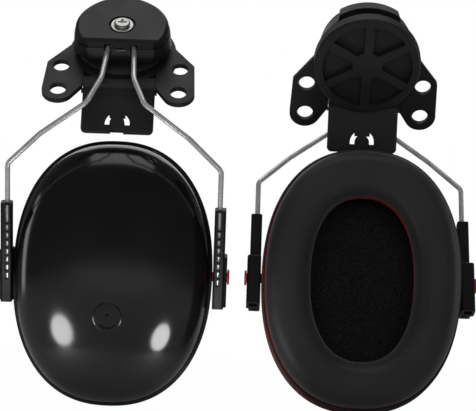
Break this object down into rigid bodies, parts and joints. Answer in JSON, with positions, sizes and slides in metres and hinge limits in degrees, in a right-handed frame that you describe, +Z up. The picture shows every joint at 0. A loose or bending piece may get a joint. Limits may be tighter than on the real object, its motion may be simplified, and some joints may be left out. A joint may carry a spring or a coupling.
{
  "type": "helmet earmuff hearing protector",
  "caption": "Pair of hearing protector ear cups on wire yokes, each with a swivel head and a blade that plugs into a safety helmet slot.",
  "frame": {"origin": "centre of the pair's overall bounding box", "axes": "+X across the pair towards the right unit, +Z up, -Y out of the left cup and +Y out of the right cup"},
  "size_m": [0.1978, 0.0602, 0.1704],
  "materials": {
    "shell_gloss": "polished",
    "head_plastic": "fine texture",
    "plate_plastic": "satin",
    "adapter_plastic": "matt",
    "guide_plastic": "satin",
    "red_plastic": "satin",
    "wire_steel": "drawn wire",
    "screw_steel": "plated",
    "foam": "open cell foam",
    "cushion_vinyl": "soft vinyl"
  },
  "bodies": {
    "brackets": {"left_slot_adapter": "adapter_plastic", "left_wing_plate": "plate_plastic", "left_turntable": "plate_plastic", "left_pivot_screw": "screw_steel", "left_pivot_washer": "screw_steel", "left_pivot_nut": "screw_steel", "right_slot_adapter": "adapter_plastic", "right_wing_plate": "plate_plastic", "right_turntable": "plate_plastic", "right_pivot_screw": "screw_steel", "right_pivot_washer": "screw_steel", "right_pivot_nut": "screw_steel"},
    "left_head": {"left_head_base": "head_plastic", "left_head_cover": "head_plastic", "left_latch_spring": "screw_steel", "left_hinge_sleeve": "plate_plastic"},
    "left_yoke": {"left_wire_yoke": "wire_steel"},
    "left_guides": {"left_front_guide_body": "guide_plastic", "left_rear_guide_body": "guide_plastic", "left_front_guide_grip": "screw_steel", "left_rear_guide_grip": "screw_steel"},
    "left_cup": {"left_outer_shell": "shell_gloss", "left_spacer_ring": "plate_plastic", "left_foam_liner": "foam", "left_foam_disc": "foam", "left_cushion_carrier": "red_plastic", "left_cushion_foam": "foam", "left_cushion_skin": "cushion_vinyl", "left_front_pivot_pin": "red_plastic", "left_rear_pivot_pin": "red_plastic"},
    "right_head": {"right_head_base": "head_plastic", "right_head_cover": "head_plastic", "right_latch_spring": "screw_steel", "right_hinge_sleeve": "plate_plastic"},
    "right_yoke": {"right_wire_yoke": "wire_steel"},
    "right_guides": {"right_front_guide_body": "guide_plastic", "right_rear_guide_body": "guide_plastic", "right_front_guide_grip": "screw_steel", "right_rear_guide_grip": "screw_steel"},
    "right_cup": {"right_outer_shell": "shell_gloss", "right_spacer_ring": "plate_plastic", "right_foam_liner": "foam", "right_foam_disc": "foam", "right_cushion_carrier": "red_plastic", "right_cushion_foam": "foam", "right_cushion_skin": "cushion_vinyl", "right_front_pivot_pin": "red_plastic", "right_rear_pivot_pin": "red_plastic"}
  },
  "joints": [
    {"name": "left_swivel", "type": "hinge", "parent": "brackets", "child": "left_head", "pos_m": [-0.051, -0.00298, 0.06463], "axis": [0, 0.766, -0.6428], "range_deg": [0, 75]},
    {"name": "left_fold", "type": "hinge", "parent": "left_head", "child": "left_yoke", "pos_m": [-0.051, -0.00992, 0.06289], "axis": [-1, 0, 0], "range_deg": [0, 8]},
    {"name": "left_height", "type": "slide", "parent": "left_yoke", "child": "left_guides", "axis": [0, -0.342, 0.9397], "range_m": [-0.012, 0]},
    {"name": "left_cup_pivot", "type": "hinge", "parent": "left_guides", "child": "left_cup", "pos_m": [-0.051, 0, -0.03075], "axis": [1, 0, 0], "range_deg": [-10, 3]},
    {"name": "right_swivel", "type": "hinge", "parent": "brackets", "child": "right_head", "pos_m": [0.051, 0.00298, 0.06463], "axis": [0, -0.766, -0.6428], "range_deg": [0, 75]},
    {"name": "right_fold", "type": "hinge", "parent": "right_head", "child": "right_yoke", "pos_m": [0.051, 0.00992, 0.06289], "axis": [1, 0, 0], "range_deg": [0, 8]},
    {"name": "right_height", "type": "slide", "parent": "right_yoke", "child": "right_guides", "axis": [0, 0.342, 0.9397], "range_m": [-0.012, 0]},
    {"name": "right_cup_pivot", "type": "hinge", "parent": "right_guides", "child": "right_cup", "pos_m": [0.051, 0, -0.03075], "axis": [-1, 0, 0], "range_deg": [-10, 3]}
  ]
}
